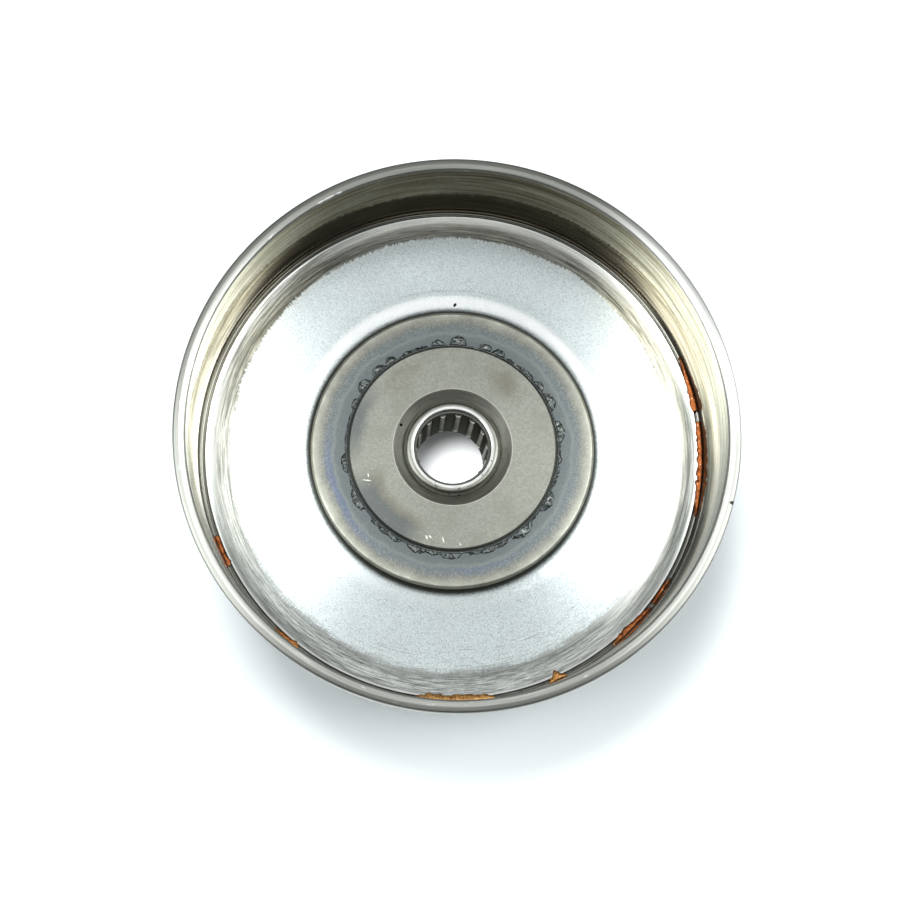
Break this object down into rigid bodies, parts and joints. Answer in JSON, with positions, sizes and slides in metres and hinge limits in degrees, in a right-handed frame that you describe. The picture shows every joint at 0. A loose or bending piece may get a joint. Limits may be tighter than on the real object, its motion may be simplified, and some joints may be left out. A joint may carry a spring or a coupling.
{
  "type": "chainsaw clutch drum with sprocket",
  "caption": "Open steel clutch drum welded to a toothed hub with a needle bearing in its bore; the clutch turns the drum and the hub's teeth pull the saw chain.",
  "frame": {"origin": "on the axis, in the plane of the sprocket's free end", "axes": "+Z along the axis, from the sprocket's free end to the drum's open side"},
  "size_m": [0.0762, 0.0762, 0.0282],
  "materials": {
    "drum_steel": "turned and satin",
    "hub_steel": "satin with light stains",
    "weld_steel": "dark scale",
    "copper": "rough metal",
    "shell_steel": "polished",
    "cage_steel": "dull",
    "needle_steel": "ground"
  },
  "bodies": {
    "drum": {"drum_cup": "drum_steel", "sprocket": "hub_steel", "weld_flash": "weld_steel", "copper_traces": "copper", "bearing_shell": "shell_steel"},
    "cage": {"needle_cage": "cage_steel"},
    "roller_01": {"needle_roller_01": "needle_steel"},
    "roller_02": {"needle_roller_02": "needle_steel"},
    "roller_03": {"needle_roller_03": "needle_steel"},
    "roller_04": {"needle_roller_04": "needle_steel"},
    "roller_05": {"needle_roller_05": "needle_steel"},
    "roller_06": {"needle_roller_06": "needle_steel"},
    "roller_07": {"needle_roller_07": "needle_steel"},
    "roller_08": {"needle_roller_08": "needle_steel"},
    "roller_09": {"needle_roller_09": "needle_steel"},
    "roller_10": {"needle_roller_10": "needle_steel"},
    "roller_11": {"needle_roller_11": "needle_steel"},
    "roller_12": {"needle_roller_12": "needle_steel"},
    "roller_13": {"needle_roller_13": "needle_steel"},
    "roller_14": {"needle_roller_14": "needle_steel"},
    "roller_15": {"needle_roller_15": "needle_steel"}
  },
  "joints": [
    {"name": "cage_spin", "type": "hinge", "parent": "drum", "child": "cage", "pos_m": [0, 0, 0.01005], "axis": [0, 0, 1], "continuous": true},
    {"name": "roller_01_spin", "type": "hinge", "parent": "cage", "child": "roller_01", "pos_m": [0.00103, 0.00567, 0.01005], "axis": [0, 0, 1], "continuous": true},
    {"name": "roller_02_spin", "type": "hinge", "parent": "cage", "child": "roller_02", "pos_m": [-0.00136, 0.0056, 0.01005], "axis": [0, 0, 1], "continuous": true},
    {"name": "roller_03_spin", "type": "hinge", "parent": "cage", "child": "roller_03", "pos_m": [-0.00352, 0.00456, 0.01005], "axis": [0, 0, 1], "continuous": true},
    {"name": "roller_04_spin", "type": "hinge", "parent": "cage", "child": "roller_04", "pos_m": [-0.00507, 0.00273, 0.01005], "axis": [0, 0, 1], "continuous": true},
    {"name": "roller_05_spin", "type": "hinge", "parent": "cage", "child": "roller_05", "pos_m": [-0.00574, 0.00043, 0.01005], "axis": [0, 0, 1], "continuous": true},
    {"name": "roller_06_spin", "type": "hinge", "parent": "cage", "child": "roller_06", "pos_m": [-0.00542, -0.00194, 0.01005], "axis": [0, 0, 1], "continuous": true},
    {"name": "roller_07_spin", "type": "hinge", "parent": "cage", "child": "roller_07", "pos_m": [-0.00416, -0.00398, 0.01005], "axis": [0, 0, 1], "continuous": true},
    {"name": "roller_08_spin", "type": "hinge", "parent": "cage", "child": "roller_08", "pos_m": [-0.00219, -0.00533, 0.01005], "axis": [0, 0, 1], "continuous": true},
    {"name": "roller_09_spin", "type": "hinge", "parent": "cage", "child": "roller_09", "pos_m": [0.00017, -0.00576, 0.01005], "axis": [0, 0, 1], "continuous": true},
    {"name": "roller_10_spin", "type": "hinge", "parent": "cage", "child": "roller_10", "pos_m": [0.0025, -0.00519, 0.01005], "axis": [0, 0, 1], "continuous": true},
    {"name": "roller_11_spin", "type": "hinge", "parent": "cage", "child": "roller_11", "pos_m": [0.00439, -0.00373, 0.01005], "axis": [0, 0, 1], "continuous": true},
    {"name": "roller_12_spin", "type": "hinge", "parent": "cage", "child": "roller_12", "pos_m": [0.00553, -0.00162, 0.01005], "axis": [0, 0, 1], "continuous": true},
    {"name": "roller_13_spin", "type": "hinge", "parent": "cage", "child": "roller_13", "pos_m": [0.00571, 0.00077, 0.01005], "axis": [0, 0, 1], "continuous": true},
    {"name": "roller_14_spin", "type": "hinge", "parent": "cage", "child": "roller_14", "pos_m": [0.0049, 0.00303, 0.01005], "axis": [0, 0, 1], "continuous": true},
    {"name": "roller_15_spin", "type": "hinge", "parent": "cage", "child": "roller_15", "pos_m": [0.00325, 0.00476, 0.01005], "axis": [0, 0, 1], "continuous": true}
  ],
  "couplings": [
    {"joint": "roller_01_spin", "follows": "cage_spin", "ratio": -8.6933},
    {"joint": "roller_02_spin", "follows": "cage_spin", "ratio": -8.6933},
    {"joint": "roller_03_spin", "follows": "cage_spin", "ratio": -8.6933},
    {"joint": "roller_04_spin", "follows": "cage_spin", "ratio": -8.6933},
    {"joint": "roller_05_spin", "follows": "cage_spin", "ratio": -8.6933},
    {"joint": "roller_06_spin", "follows": "cage_spin", "ratio": -8.6933},
    {"joint": "roller_07_spin", "follows": "cage_spin", "ratio": -8.6933},
    {"joint": "roller_08_spin", "follows": "cage_spin", "ratio": -8.6933},
    {"joint": "roller_09_spin", "follows": "cage_spin", "ratio": -8.6933},
    {"joint": "roller_10_spin", "follows": "cage_spin", "ratio": -8.6933},
    {"joint": "roller_11_spin", "follows": "cage_spin", "ratio": -8.6933},
    {"joint": "roller_12_spin", "follows": "cage_spin", "ratio": -8.6933},
    {"joint": "roller_13_spin", "follows": "cage_spin", "ratio": -8.6933},
    {"joint": "roller_14_spin", "follows": "cage_spin", "ratio": -8.6933},
    {"joint": "roller_15_spin", "follows": "cage_spin", "ratio": -8.6933}
  ]
}
